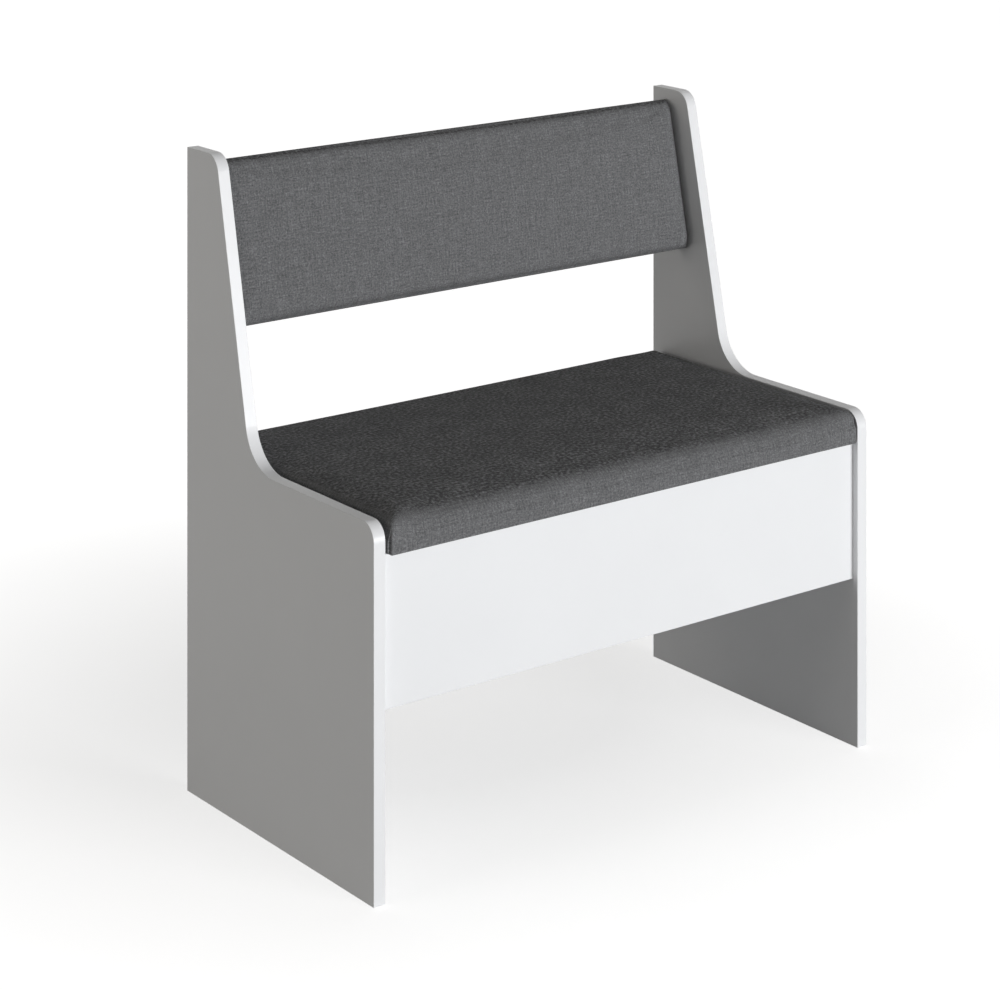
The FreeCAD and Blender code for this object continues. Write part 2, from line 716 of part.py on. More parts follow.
BRACKET_BACK = "(-lining_thick)"
bracket_screws = []
rest_screw_holes = []
side_screw_holes = {side: [] for side in SIDES}
for side, sign in SIDES.items():
    for level, step in (("lower", -1), ("upper", 1)):
        middle = f"({step} * bracket_spacing / 2)"
        low_y = f"{middle} - bracket_width / 2"
        high_y = f"{middle} + bracket_width / 2"
        rest_low, rest_high = mirrored_span(sign, f"{INNER} - bracket_leg", INNER)
        wall_low, wall_high = mirrored_span(sign, f"{INNER} - plate_thick", INNER)
        name = f"{side}_{level}_bracket"
        legs = [
            box(f"{name}_rest_leg", (rest_low, low_y, f"{BRACKET_BACK} - plate_thick"),
                (rest_high, high_y, BRACKET_BACK)),
            box(f"{name}_wall_leg", (wall_low, low_y, f"{BRACKET_BACK} - bracket_leg"),
                (wall_high, high_y, BRACKET_BACK)),
        ]
        rest_place = (f"{sign} * ({INNER} - bracket_screw_offset)", middle, f"{BRACKET_BACK} - plate_thick")
        wall_place = (f"{sign} * ({INNER} - plate_thick)", middle, f"{BRACKET_BACK} - bracket_screw_offset")
        rest_hole = copy_of(screw_blank, rest_place, UPWARD)
        wall_hole = copy_of(screw_blank, wall_place, RIGHTWARD * sign)
        bracket = carve(name, join(f"{name}_angle", legs), [rest_hole, wall_hole])
        node(f"{side}_{level}_backrest_bracket", lean(bracket))
        rest_screw_holes.append(rest_hole)
        side_screw_holes[side].append(wall_hole)
        bracket_screws.append(copy_of(screw, rest_place, UPWARD))
        bracket_screws.append(copy_of(screw, wall_place, RIGHTWARD * sign))
node("bracket_screws", lean(group("bracket_screws", bracket_screws)))

rest_pieces = pad_pieces("rest", REST_LENGTH, "rest_height", "rest_thick", "rest_crown", "rest_roll",
                         "rest_end_round", ("0", "0", "0"), rest_screw_holes)
for label, piece in zip(("backrest_board", "backrest_foam", "backrest_cover"), rest_pieces):
    node(label, lean(piece))
lining_x = f"({REST_LENGTH} / 2 - lining_margin)"
lining_y = "(rest_height / 2 - lining_margin)"
lining = box("lining_blank", (f"-{lining_x}", f"-{lining_y}", BRACKET_BACK), (lining_x, lining_y, "0"))
node("backrest_lining", lean(carve("rest_lining", lining, rest_screw_holes)))

# Side panels and their edge bands

board_blank = side_blank("side_board_blank", "band_thick")
banded_blank = side_blank("side_banded_blank", "0", "band_round")
for side, sign in SIDES.items():
    low_x, _ = mirrored_span(sign, INNER, "bench_width / 2")
    at_side = (low_x, "0", "0")
    bracket_holes = lean(group(f"{side}_bracket_holes", side_screw_holes[side]))
    side_board = copy_of(board_blank, at_side)
    node(f"{side}_side_panel", carve(f"{side}_panel", side_board, side_tools[side] + [bracket_holes]))
    band = carve(f"{side}_band", copy_of(banded_blank, at_side), [side_board])
    node(f"{side}_side_edge_band", band)

# Checks and export

doc.recompute()
for item in doc.Objects:
    if "Invalid" in item.State or "Error" in item.State:
        raise RuntimeError(f"{item.Label} failed: {item.State}")
for piece in nodes:
    if piece.Shape.isNull() or not piece.Shape.isValid() or not piece.Shape.Solids:
        raise RuntimeError(f"{piece.Label} has no valid solid")

os.makedirs("parts", exist_ok=True)
for piece in nodes:
    piece.Shape.exportStep(f"parts/{piece.Label}.step")
    print(piece.Label, len(piece.Shape.Solids), round(piece.Shape.Volume, 1))
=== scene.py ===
import json
import math
import random

import bpy
from mathutils import Matrix, Vector
from mathutils.bvhtree import BVHTree


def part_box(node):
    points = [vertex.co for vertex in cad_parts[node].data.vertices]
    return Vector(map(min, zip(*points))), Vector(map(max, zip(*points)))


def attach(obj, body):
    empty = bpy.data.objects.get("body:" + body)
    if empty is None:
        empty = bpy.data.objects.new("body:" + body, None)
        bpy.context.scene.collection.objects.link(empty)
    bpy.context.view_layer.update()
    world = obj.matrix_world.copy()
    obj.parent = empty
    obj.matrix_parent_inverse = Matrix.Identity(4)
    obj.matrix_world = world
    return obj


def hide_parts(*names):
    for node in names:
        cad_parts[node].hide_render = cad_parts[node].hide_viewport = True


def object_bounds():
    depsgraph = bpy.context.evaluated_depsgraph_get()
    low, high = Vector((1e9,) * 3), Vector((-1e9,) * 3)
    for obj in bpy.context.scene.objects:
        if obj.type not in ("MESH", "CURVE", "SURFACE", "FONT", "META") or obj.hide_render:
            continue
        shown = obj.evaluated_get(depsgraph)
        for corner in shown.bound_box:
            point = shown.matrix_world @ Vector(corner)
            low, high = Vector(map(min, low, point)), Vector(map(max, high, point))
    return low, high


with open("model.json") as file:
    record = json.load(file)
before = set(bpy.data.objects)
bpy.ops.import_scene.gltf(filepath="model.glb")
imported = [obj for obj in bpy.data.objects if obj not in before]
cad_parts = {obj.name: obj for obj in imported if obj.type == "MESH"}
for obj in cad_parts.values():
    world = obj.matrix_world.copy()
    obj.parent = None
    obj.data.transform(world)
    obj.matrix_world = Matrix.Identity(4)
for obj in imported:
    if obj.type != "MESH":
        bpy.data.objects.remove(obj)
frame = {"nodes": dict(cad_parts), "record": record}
CAD_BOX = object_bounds()
NODES = frame["nodes"]
SCENE = bpy.context.scene
SCENE.view_settings.view_transform = "Standard"
MM = 0.001

# Camera. The photograph's uprights are parallel: it was taken looking level, and the bench lies low in the
# view. The camera's parent slants the line of sight against the upright picture in the same way.

PHOTO_WIDTH = 1000
PHOTO_HEIGHT = 990
CAMERA_PLACE = Vector((-2.22506, -2.94496, 1.47439))
CAMERA_YAW = math.radians(37.977)
FOCAL_PIXELS = 2911.13
LEVEL_PIXEL = (580.51, -395.31)
SENSOR_WIDTH = 36
CLIP_START = 0.1
CLIP_END = 60


def add_camera():
    """The camera that took the photograph."""
    ahead = Vector((math.sin(CAMERA_YAW), math.cos(CAMERA_YAW), 0))
    rightward = Vector((math.cos(CAMERA_YAW), -math.sin(CAMERA_YAW), 0))
    upward = Vector((0, 0, 1))
    across = (PHOTO_WIDTH / 2 - LEVEL_PIXEL[0]) / FOCAL_PIXELS
    rise = (LEVEL_PIXEL[1] - PHOTO_HEIGHT / 2) / FOCAL_PIXELS
    sight = ahead + across * rightward + rise * upward
    data = bpy.data.cameras.new("photo_camera")
    data.sensor_width = SENSOR_WIDTH
    data.lens = SENSOR_WIDTH * FOCAL_PIXELS * sight.length / PHOTO_WIDTH
    data.clip_start = CLIP_START
    data.clip_end = CLIP_END
    camera = bpy.data.objects.new("photo_camera", data)
    mount = bpy.data.objects.new("camera_mount", None)
    SCENE.collection.objects.link(camera)
    SCENE.collection.objects.link(mount)
    axes = Matrix((rightward, upward, -sight.normalized())).transposed()
    camera.parent = mount
    camera.matrix_parent_inverse = Matrix.Translation(CAMERA_PLACE) @ axes.to_4x4()
    SCENE.camera = camera


# Node trees

def add(tree, kind, inputs=None, **settings):
    """A node of a kind with its settings, and with its inputs set to values or linked to other sockets."""
    made = tree.nodes.new(kind)
    for key, amount in settings.items():
        setattr(made, key, amount)
    for key, amount in (inputs or {}).items():
        if isinstance(amount, bpy.types.NodeSocket):
            tree.links.new(amount, made.inputs[key])
        else:
            made.inputs[key].default_value = amount
    return made


def calc(tree, operation, *amounts):
    """The result of a sum on sockets and numbers."""
    return add(tree, "ShaderNodeMath", dict(enumerate(amounts)), operation=operation).outputs[0]


def ramp(tree, share, stops):
    """The colour that a share from 0 to 1 has on a scale of stops, each a place and a grey or a colour."""
    made = add(tree, "ShaderNodeValToRGB", {"Fac": share})
    scale = made.color_ramp.elements
    while len(scale) < len(stops):
        scale.new(1)
    for element, (place, tone) in zip(scale, stops):
        element.position = place
        element.color = (*tone, 1) if hasattr(tone, "__len__") else (tone, tone, tone, 1)
    return made.outputs["Color"]


def grain(tree, vector, scale, detail=2, roughness=0.5):
    """Smooth noise on a vector, from 0 to 1, with so many features to a unit."""
    inputs = {"Vector": vector, "Scale": scale, "Detail": detail, "Roughness": roughness}
    return add(tree, "ShaderNodeTexNoise", inputs).outputs["Fac"]


def stretched(tree, vector, scale):
    """A vector with each of its axes scaled."""
    return add(tree, "ShaderNodeMapping", {"Vector": vector, "Scale": scale}).outputs["Vector"]


def in_place(tree):
    """The place on a piece at rest, in metres."""
    return add(tree, "ShaderNodeTexCoord").outputs["Object"]


def shifted(tree, vector, by, amount):
    """A vector moved by another, times an amount for each axis."""
    inputs = {0: by, 1: amount, 2: vector}
    return add(tree, "ShaderNodeVectorMath", inputs, operation="MULTIPLY_ADD").outputs[0]


def spread(tree, amount, low, high, start=0, end=1):
    """An amount from start to end spread from low to high."""
    inputs = {"Value": amount, "From Min": start, "From Max": end, "To Min": low, "To Max": high}
    return add(tree, "ShaderNodeMapRange", inputs).outputs["Result"]


def mix(tree, share, first, second):
    """So much of a second amount in a first."""
    return add(tree, "ShaderNodeMix", {0: share, 2: first, 3: second}).outputs[0]


def tint(tree, shader, share, tones, stops=(0.3, 0.7)):
    """Colour a shader by a share from 0 to 1, on a scale of tones."""
    tree.links.new(ramp(tree, share, list(zip(stops, tones))), shader.inputs["Base Color"])


def bump(tree, shader, height, distance):
    """Raise a shader's surface by a height from 0 to 1 of a distance."""
    inputs = {"Height": height, "Distance": distance}
    tree.links.new(add(tree, "ShaderNodeBump", inputs).outputs["Normal"], shader.inputs["Normal"])


def new_finish(name, **constants):
    """A material, its node tree and its shader, with what is the same all over set on the shader."""
    made = bpy.data.materials.new(name)
    made.use_nodes = True
    shader = made.node_tree.nodes["Principled BSDF"]
    for key, amount in constants.items():
        shader.inputs[key.replace("_", " ").replace("ior level", "IOR Level")].default_value = amount
    return made, made.node_tree, shader


def seen_directly(tree):
    """1 for rays from the camera or off gloss or through glass, which see the background, and otherwise 0."""
    path = add(tree, "ShaderNodeLightPath").outputs
    seen = calc(tree, "MAXIMUM", path["Is Camera Ray"], path["Is Glossy Ray"])
    return calc(tree, "MAXIMUM", seen, path["Is Transmission Ray"])


# Light: a white room, large soft lamps in front, on the left and behind, and a pale floor with a painted
# shadow round the bench

FILL_COLOUR = (1.0, 0.975, 0.93, 1)
FILL_STRENGTH = 0.14
AIM = Vector((0, 0, 0.45))
COOL = (0.985, 0.992, 1.0)
WARM = (1.0, 0.965, 0.90)
LAMPS = {
    "key_lamp": {"azimuth": 16, "rise": 3, "distance": 9, "size": (4.5, 1.7), "power": 660, "colour": COOL},
    "side_lamp": {"azimuth": -95, "rise": 12, "distance": 6, "size": (3.0, 1.6), "power": 37, "colour": WARM},
    "rear_lamp": {"azimuth": 170, "rise": 4, "distance": 9, "size": (4.5, 1.7), "power": 150, "colour": COOL},
}
FLOOR_HALF = 12
FLOOR_DROP = 0.2 * MM
FLOOR_TONES = (0.55, 0.58)
# The floor's glow for camera and gloss rays is lowest round a middle just behind the bench and rises away
# from it: a painted shadow.
PAINTED_SHADOW_MIDDLE = (0, 0.3, 0)
GLOW_IN_PAINTED_SHADOW = 0.645
GLOW_FAR = 0.90
PAINTED_SHADOW_INNER = 0.3
PAINTED_SHADOW_OUTER = 0.95


def light_room():
    """White where it is seen, and dimmer as a light."""
    world = bpy.data.worlds.new("white_room")
    world.use_nodes = True
    SCENE.world = world
    tree = world.node_tree
    tree.nodes.clear()
    dim = add(tree, "ShaderNodeBackground", {"Color": FILL_COLOUR, "Strength": FILL_STRENGTH})
    white = add(tree, "ShaderNodeBackground", {"Color": (1, 1, 1, 1), "Strength": 1})
    mixed = add(tree, "ShaderNodeMixShader", {0: seen_directly(tree), 1: dim.outputs[0], 2: white.outputs[0]})
    add(tree, "ShaderNodeOutputWorld", {"Surface": mixed.outputs[0]})


def add_lamp(name, azimuth, rise, distance, size, power, colour):
    """A soft rectangular lamp turned towards the bench, at degrees round from its front and degrees up."""
    data = bpy.data.lights.new(name, "AREA")
    data.shape = "RECTANGLE"
    data.size, data.size_y = size
    data.energy = power
    data.color = colour
    lamp = bpy.data.objects.new(name, data)
    out = Vector((0, -distance, 0))
    out.rotate(Matrix.Rotation(math.radians(-rise), 3, "X"))
    out.rotate(Matrix.Rotation(math.radians(azimuth), 3, "Z"))
    lamp.location = AIM + out
    lamp.rotation_euler = (-out).to_track_quat("-Z", "Y").to_euler()
    lamp.visible_camera = False
    SCENE.collection.objects.link(lamp)


def floor_finish():
    """Pale matt floor with the bench's shadow, and a glow that is lower round the bench and behind it, a
    painted shadow, fading to white away from the bench.
    """
    made, tree, shader = new_finish("pale_floor", Roughness=0.9, Specular_ior_level=0.0)
    place = in_place(tree)
    tint(tree, shader, grain(tree, place, scale=3), FLOOR_TONES)
    # painted shadow: the glow is lower near the middle behind the bench and rises to the far glow away from
    # it
    inputs = {0: place, 1: PAINTED_SHADOW_MIDDLE}
    from_painted_shadow_middle = add(tree, "ShaderNodeVectorMath", inputs, operation="DISTANCE").outputs["Value"]
    painted_shadow_glow = spread(tree, from_painted_shadow_middle, GLOW_IN_PAINTED_SHADOW, GLOW_FAR, PAINTED_SHADOW_INNER, PAINTED_SHADOW_OUTER)
    shader.inputs["Emission Color"].default_value = (1, 1, 1, 1)
    tree.links.new(calc(tree, "MULTIPLY", seen_directly(tree), painted_shadow_glow), shader.inputs["Emission Strength"])
    return made


def add_floor():
    """The floor that the bench stands on."""
    corners = [(-1, -1), (1, -1), (1, 1), (-1, 1)]
    mesh = bpy.data.meshes.new("floor")
    points = [(x * FLOOR_HALF, y * FLOOR_HALF, CAD_BOX[0].z - FLOOR_DROP) for x, y in corners]
    mesh.from_pydata(points, [], [(0, 1, 2, 3)])
    floor = bpy.data.objects.new("floor", mesh)
    mesh.materials.append(floor_finish())
    SCENE.collection.objects.link(floor)


# Finishes. Tones are linear colours, from the darkest to the lightest.

MELAMINE_TONES = ((0.840, 0.848, 0.862), (0.856, 0.864, 0.878))
EDGE_BAND_TONES = ((0.845, 0.852, 0.866), (0.861, 0.868, 0.882))
FABRIC_TONES = ((0.070, 0.071, 0.073), (0.167, 0.169, 0.174), (0.330, 0.334, 0.343))
FABRIC_STOPS = (0.38, 0.5, 0.62)
FOAM_TONES = ((0.60, 0.55, 0.40), (0.83, 0.79, 0.63))
FOAM_STOPS = (0.0, 0.6)
CHIP_TONES = ((0.30, 0.19, 0.10), (0.52, 0.37, 0.22), (0.72, 0.57, 0.38))
CHIP_STOPS = (0.1, 0.5, 0.9)
CHIP_FIBRE_SHARE = 0.35
LINING_TONES = ((0.016, 0.016, 0.017), (0.046, 0.046, 0.049))
BEECH_TONES = ((0.52, 0.35, 0.19), (0.74, 0.57, 0.38))
ZINC_TONES = ((0.42, 0.42, 0.43), (0.56, 0.56, 0.57))
PLATING_TONES = ((0.60, 0.61, 0.63), (0.72, 0.73, 0.74))

# The weave: threads that drift and vary, slubs, streaks along the threads, and, on faces that look up,
# painted shade with painted highlight flecks
WEAVE_MAP = "weave"
THREAD_PITCH = 0.9 * MM
THREAD_DRIFT = (1.5, 1.5, 0)
DRIFTS_PER_THREAD = 0.03
PILLOW_POWER = 0.6
FIBRES_PER_THREAD = 2.3
WARP_GRAIN = (0.8, 0.04, 1)
WEFT_GRAIN = (0.04, 0.8, 1)
SLUBS_PER_METRE = 420
STREAKS_PER_METRE = ((16, 330, 0), (330, 16, 0))
SLUB_SHARE = 0.5
FIBRE_SHARE = 0.2
STREAK_SHARE = 0.12
# Painted highlight flecks and painted shade for the faces that look up:
HIGHLIGHT_FLECKS_PER_METRE = 230
PATCHES_PER_METRE = 22
HIGHLIGHT_FLECK_SHARE = 1.3
PATCH_SHARE = 0.25
TOP_PAINTED_SHADE_LEVEL = -0.34
TOP_PAINT_SHARES = (0.05, 0.6)
TOP_PAINT_FACING = (0.87, 0.995)
THREAD_HEIGHT = 0.8
PILLOW_HEIGHT = 0.3
SLUB_HEIGHT = 1.5
WEAVE_RELIEF = 0.6 * MM


def white_melamine():
    """White melamine face: an even white with a faint pearl grain."""
    made, tree, shader = new_finish("white_melamine", Specular_ior_level=0.5)
    place = in_place(tree)
    pearl = grain(tree, place, scale=1500, detail=1)
    tint(tree, shader, grain(tree, place, scale=9, detail=3), MELAMINE_TONES)
    tree.links.new(spread(tree, pearl, low=0.34, high=0.48), shader.inputs["Roughness"])
    bump(tree, shader, pearl, distance=0.012 * MM)
    return made


def white_edge_band():
    """Plastic edge band: the same white, a little smoother, with fine lines along it from trimming."""
    made, tree, shader = new_finish("white_edge_band", Specular_ior_level=0.5)
    place = in_place(tree)
    lines = grain(tree, stretched(tree, place, scale=(2500, 60, 60)), scale=1)
    tint(tree, shader, grain(tree, place, scale=14), EDGE_BAND_TONES)
    tree.links.new(spread(tree, lines, low=0.28, high=0.40), shader.inputs["Roughness"])
    bump(tree, shader, lines, distance=0.006 * MM)
    return made


def woven_fabric():
    """Anthracite plain weave: uneven warp and weft threads that pass over each other by turns."""
    made, tree, shader = new_finish(
        "woven_fabric", Roughness=0.9, Specular_ior_level=0.08, Sheen_Weight=0.05, Sheen_Roughness=0.5
    )
    flat = add(tree, "ShaderNodeUVMap", uv_map=WEAVE_MAP).outputs["UV"]
    straight = stretched(tree, flat, (1 / THREAD_PITCH, 1 / THREAD_PITCH, 0))
    inputs = {"Vector": straight, "Scale": DRIFTS_PER_THREAD}
    drift = add(tree, "ShaderNodeTexNoise", inputs).outputs["Color"]
    threads = shifted(tree, straight, drift, THREAD_DRIFT)

    # which thread lies on top, and how it bulges there
    split = add(tree, "ShaderNodeSeparateXYZ", {"Vector": threads}).outputs
    waves = [calc(tree, "SINE", calc(tree, "MULTIPLY", split[axis], math.pi)) for axis in "XY"]
    crossing = calc(tree, "MULTIPLY", *waves)
    warp_on_top = calc(tree, "GREATER_THAN", crossing, 0)
    pillow = calc(tree, "POWER", calc(tree, "ABSOLUTE", crossing), PILLOW_POWER)

    # the tone along each thread
    warp = grain(tree, stretched(tree, threads, WARP_GRAIN), scale=1, detail=3, roughness=0.6)
    weft = grain(tree, stretched(tree, threads, WEFT_GRAIN), scale=1.1, detail=3, roughness=0.6)
    fibre = grain(tree, threads, FIBRES_PER_THREAD)
    slub = grain(tree, flat, SLUBS_PER_METRE, detail=3, roughness=0.65)
    streaks = [grain(tree, stretched(tree, flat, scale), scale=1) for scale in STREAKS_PER_METRE]
    streak = calc(tree, "MULTIPLY_ADD", streaks[0], 0.5, calc(tree, "MULTIPLY", streaks[1], 0.5))
    thread = mix(tree, warp_on_top, weft, warp)
    uneven = mix(tree, SLUB_SHARE, thread, slub)
    fine = mix(tree, FIBRE_SHARE, uneven, fibre)
    drawn = mix(tree, STREAK_SHARE, fine, streak)

    # faces that look up are painted darker, as shade, with a coarse mottle of bright flecks painted as
    # highlights of threads catching the low light
    facing = add(tree, "ShaderNodeTexCoord").outputs["Normal"]
    upward = add(tree, "ShaderNodeSeparateXYZ", {"Vector": facing}).outputs["Z"]
    top_paint_share = spread(tree, upward, *TOP_PAINT_SHARES, *TOP_PAINT_FACING)
    highlight_flecks = grain(tree, flat, HIGHLIGHT_FLECKS_PER_METRE, detail=2, roughness=0.6)
    # painted shade: the level lowers the tone of the faces that look up, with random patches in it
    patchy_painted_shade = calc(tree, "MULTIPLY_ADD", grain(tree, flat, PATCHES_PER_METRE), PATCH_SHARE, TOP_PAINTED_SHADE_LEVEL)
    painted_top_tone = calc(tree, "MULTIPLY_ADD", highlight_flecks, HIGHLIGHT_FLECK_SHARE, patchy_painted_shade)
    tint(tree, shader, mix(tree, top_paint_share, drawn, painted_top_tone), FABRIC_TONES, FABRIC_STOPS)

    pillows = calc(tree, "MULTIPLY", pillow, PILLOW_HEIGHT)
    woven = calc(tree, "MULTIPLY_ADD", thread, THREAD_HEIGHT, pillows)
    bump(tree, shader, calc(tree, "MULTIPLY_ADD", slub, SLUB_HEIGHT, woven), WEAVE_RELIEF)
    return made


def upholstery_foam():
    """Cream open-cell foam."""
    made, tree, shader = new_finish("upholstery_foam", Roughness=0.95, Specular_ior_level=0.1)
    place = in_place(tree)
    cells = add(tree, "ShaderNodeTexVoronoi", {"Vector": place, "Scale": 700}).outputs["Distance"]
    tint(tree, shader, cells, FOAM_TONES, FOAM_STOPS)
    bump(tree, shader, cells, distance=0.4 * MM)
    return made


def raw_chipboard():
    """Pressed wood chips of many sizes and tones."""
    made, tree, shader = new_finish("raw_chipboard", Roughness=0.85, Specular_ior_level=0.2)
    place = in_place(tree)
    bent = add(tree, "ShaderNodeTexNoise", {"Vector": place, "Scale": 120}).outputs["Color"]
    moved = shifted(tree, place, bent, amount=(8 * MM, 8 * MM, 8 * MM))
    chips = add(tree, "ShaderNodeTexVoronoi", {"Vector": moved, "Scale": 260}).outputs["Color"]
    chip = add(tree, "ShaderNodeSeparateColor", {"Color": chips}).outputs[0]
    fibre = grain(tree, stretched(tree, place, scale=(300, 2200, 300)), scale=1, detail=3)
    tone = mix(tree, CHIP_FIBRE_SHARE, chip, fibre)
    tint(tree, shader, tone, CHIP_TONES, CHIP_STOPS)
    bump(tree, shader, tone, distance=0.25 * MM)
    return made


def lining_cloth():
    """Black non-woven lining: matted fibres with rows of small pressed dots."""
    made, tree, shader = new_finish("lining_cloth", Roughness=0.85, Specular_ior_level=0.25)
    flat = add(tree, "ShaderNodeUVMap", uv_map=WEAVE_MAP).outputs["UV"]
    rows = add(tree, "ShaderNodeMapping", {"Vector": flat, "Rotation": (0, 0, math.radians(45))}).outputs[0]
    inputs = {"Vector": rows, "Scale": 480, "Randomness": 0.0}
    dots = add(tree, "ShaderNodeTexVoronoi", inputs, voronoi_dimensions="2D").outputs["Distance"]
    fibres = grain(tree, flat, scale=2600, detail=4, roughness=0.7)
    pressed = ramp(tree, dots, [(0.16, 0.0), (0.24, 1.0)])
    tint(tree, shader, fibres, LINING_TONES)
    matted = calc(tree, "MULTIPLY", pressed, spread(tree, fibres, low=0.5, high=1))
    bump(tree, shader, matted, distance=0.12 * MM)
    return made


def beech_dowel():
    """Pale beech with fine grain along it and short dark flecks."""
    made, tree, shader = new_finish("beech_dowel", Roughness=0.6, Specular_ior_level=0.3)
    place = in_place(tree)
    lines = grain(tree, stretched(tree, place, scale=(60, 900, 900)), scale=1, detail=4)
    tint(tree, shader, lines, BEECH_TONES)
    bump(tree, shader, lines, distance=0.05 * MM)
    return made


def metal(name, tones, roughness, scale, relief):
    """Bare or plated metal, clouded, with a fine uneven grain."""
    made, tree, shader = new_finish(name, Metallic=1.0)
    place = in_place(tree)
    fine = grain(tree, place, scale, detail=3)
    tint(tree, shader, grain(tree, place, scale / 8, detail=4), tones)
    tree.links.new(spread(tree, fine, *roughness), shader.inputs["Roughness"])
    bump(tree, shader, fine, relief)
    return made


def cast_zinc():
    """Grey die-cast zinc."""
    return metal("cast_zinc", ZINC_TONES, roughness=(0.42, 0.62), scale=1800, relief=0.05 * MM)


def zinc_plated_steel():
    """Bright zinc plating with a faint blue cast."""
    return metal("zinc_plated_steel", PLATING_TONES, roughness=(0.22, 0.38), scale=2500, relief=0.01 * MM)


FINISHES = {
    make.__name__: make()
    for make in (
        white_melamine, white_edge_band, woven_fabric, upholstery_foam, raw_chipboard, lining_cloth,
        beech_dowel, cast_zinc, zinc_plated_steel,
    )
}


def dress_nodes():
    """Give every CAD node the finish of its material slot."""
    for part in frame["record"]["subparts"]:
        for place in NODES[part["node"]].material_slots:
            place.material = FINISHES[part["material_slot"]]


# Pads. Each is drawn lying on its board, X along it, Y across it and Z out of it, as one closed skin: the
# crowned top, the rolled rim, the sides, the cloth turned in under the board, and the bed of the board.

CELL = 6 * MM
CORNER_CELLS = 3
ROLL_CELLS = 7
SIDE_CELLS = 6
EDGE_CELLS = 3
TURN_CELLS = 6
COVER_THICK = 1 * MM
BOARD_THICK = 16 * MM
BOARD_TOP = COVER_THICK + BOARD_THICK
BED_GAP = 0.15 * MM
EDGE_ROUND = 2 * MM
TURN_IN = 48 * MM
DRAW_IN = 2 * MM
BOARD_CORNER = 1.5 * MM
CORNER_EASE = 8 * MM
CORNER_BLEND = 70 * MM
CROWN_ALONG = 4
CROWN_ACROSS = 2
QUARTER_TURN = math.radians(90)


def half_side(run_half, out_half, radius, cells):
    """Points along one side of a rounded rectangle, from one corner's middle to the next one's."""
    points = []
    for step in range(cells + 1):
        near = min(step, cells - step)
        sign = -1 if step < cells - step else 1
        if near < CORNER_CELLS:
            turn = QUARTER_TURN / 2 * (1 - near / CORNER_CELLS)
            run = run_half - radius + radius * math.sin(turn)
            points.append((sign * run, out_half - radius + radius * math.cos(turn)))
        else:
            share = (step - CORNER_CELLS) / (cells - 2 * CORNER_CELLS)
            points.append(((2 * share - 1) * (run_half - radius), out_half))
    return points


def outline(half_x, half_y, radius, cells_x, cells_y):
    """Points round a rounded rectangle: front, right, back and left, each from one corner's middle."""
    along_x = half_side(half_x, half_y, radius, cells_x)[:-1]
    along_y = half_side(half_y, half_x, radius, cells_y)[:-1]
    front = [(run, -out) for run, out in along_x]
    right = [(out, run) for run, out in along_y]
    back = [(-run, out) for run, out in along_x]
    left = [(-out, -run) for run, out in along_y]
    return front + right + back + left


def pad_profile(reach, drop, thick):
    """Outward reach and height from the rim of the flat top to the bed of the board, one pair to a ring."""
    stations = []
    for step in range(1, ROLL_CELLS + 1):
        turn = QUARTER_TURN * step / ROLL_CELLS
        stations.append((reach * math.sin(turn), thick - drop + drop * math.cos(turn)))
    for step in range(1, SIDE_CELLS + 1):
        share = step / SIDE_CELLS
        stations.append((reach, (thick - drop) * (1 - share) + EDGE_ROUND * share))
    for step in range(1, EDGE_CELLS + 1):
        turn = QUARTER_TURN * step / EDGE_CELLS
        stations.append((reach - EDGE_ROUND * (1 - math.cos(turn)), EDGE_ROUND * (1 - math.sin(turn))))
    for step in range(1, TURN_CELLS + 1):
        stations.append((reach - EDGE_ROUND - (TURN_IN - EDGE_ROUND) * step / TURN_CELLS, 0))
    bed_edge = reach - COVER_THICK + BED_GAP
    bed_low = COVER_THICK - BED_GAP
    stations += [(reach - TURN_IN, bed_low), (bed_edge, bed_low), (bed_edge, BOARD_TOP + BED_GAP)]
    return stations


def arc_lengths(thick, stations):
    """How far the cloth has run from the rim of the flat top to each station."""
    lengths = []
    before = (0, thick)
    total = 0
    for station in stations:
        total += math.dist(before, station)
        lengths.append(total)
        before = station
    return lengths


def smooth(share):
    """A share from 0 to 1, eased at both ends."""
    share = min(max(share, 0), 1)
    return share * share * (3 - 2 * share)


def fill_rim(points, rim, cells_x, cells_y, rise):
    """Spin a grid between the four sides of a ring of points, add its points, and return its rows."""
    count = len(rim)
    far = 2 * cells_x + cells_y
    spots = [points[index] for index in rim]

    def on_rim(step_x, step_y):
        if step_y == 0:
            return step_x
        if step_x == cells_x:
            return cells_x + step_y
        if step_y == cells_y:
            return far - step_x
        return -step_y % count if step_x == 0 else None

    rows = []
    for step_y in range(cells_y + 1):
        v = step_y / cells_y
        row = []
        for step_x in range(cells_x + 1):
            u = step_x / cells_x
            step = on_rim(step_x, step_y)
            if step is None:
                across = (1 - v) * spots[step_x] + v * spots[far - step_x]
                along = (1 - u) * spots[-step_y % count] + u * spots[cells_x + step_y]
                near = (1 - u) * spots[0] + u * spots[cells_x]
                back = (1 - u) * spots[far] + u * spots[cells_x + cells_y]
                place = across + along - (1 - v) * near - v * back
                place.z += rise(place.x, place.y)
                row.append(len(points))
                points.append(place)
            else:
                row.append(rim[step])
        rows.append(row)
    return rows


def grid_faces(rows):
    """The quads of a grid, seen from above."""
    return [
        (low[i], low[i + 1], high[i + 1], high[i])
        for low, high in zip(rows, rows[1:])
        for i in range(len(low) - 1)
    ]


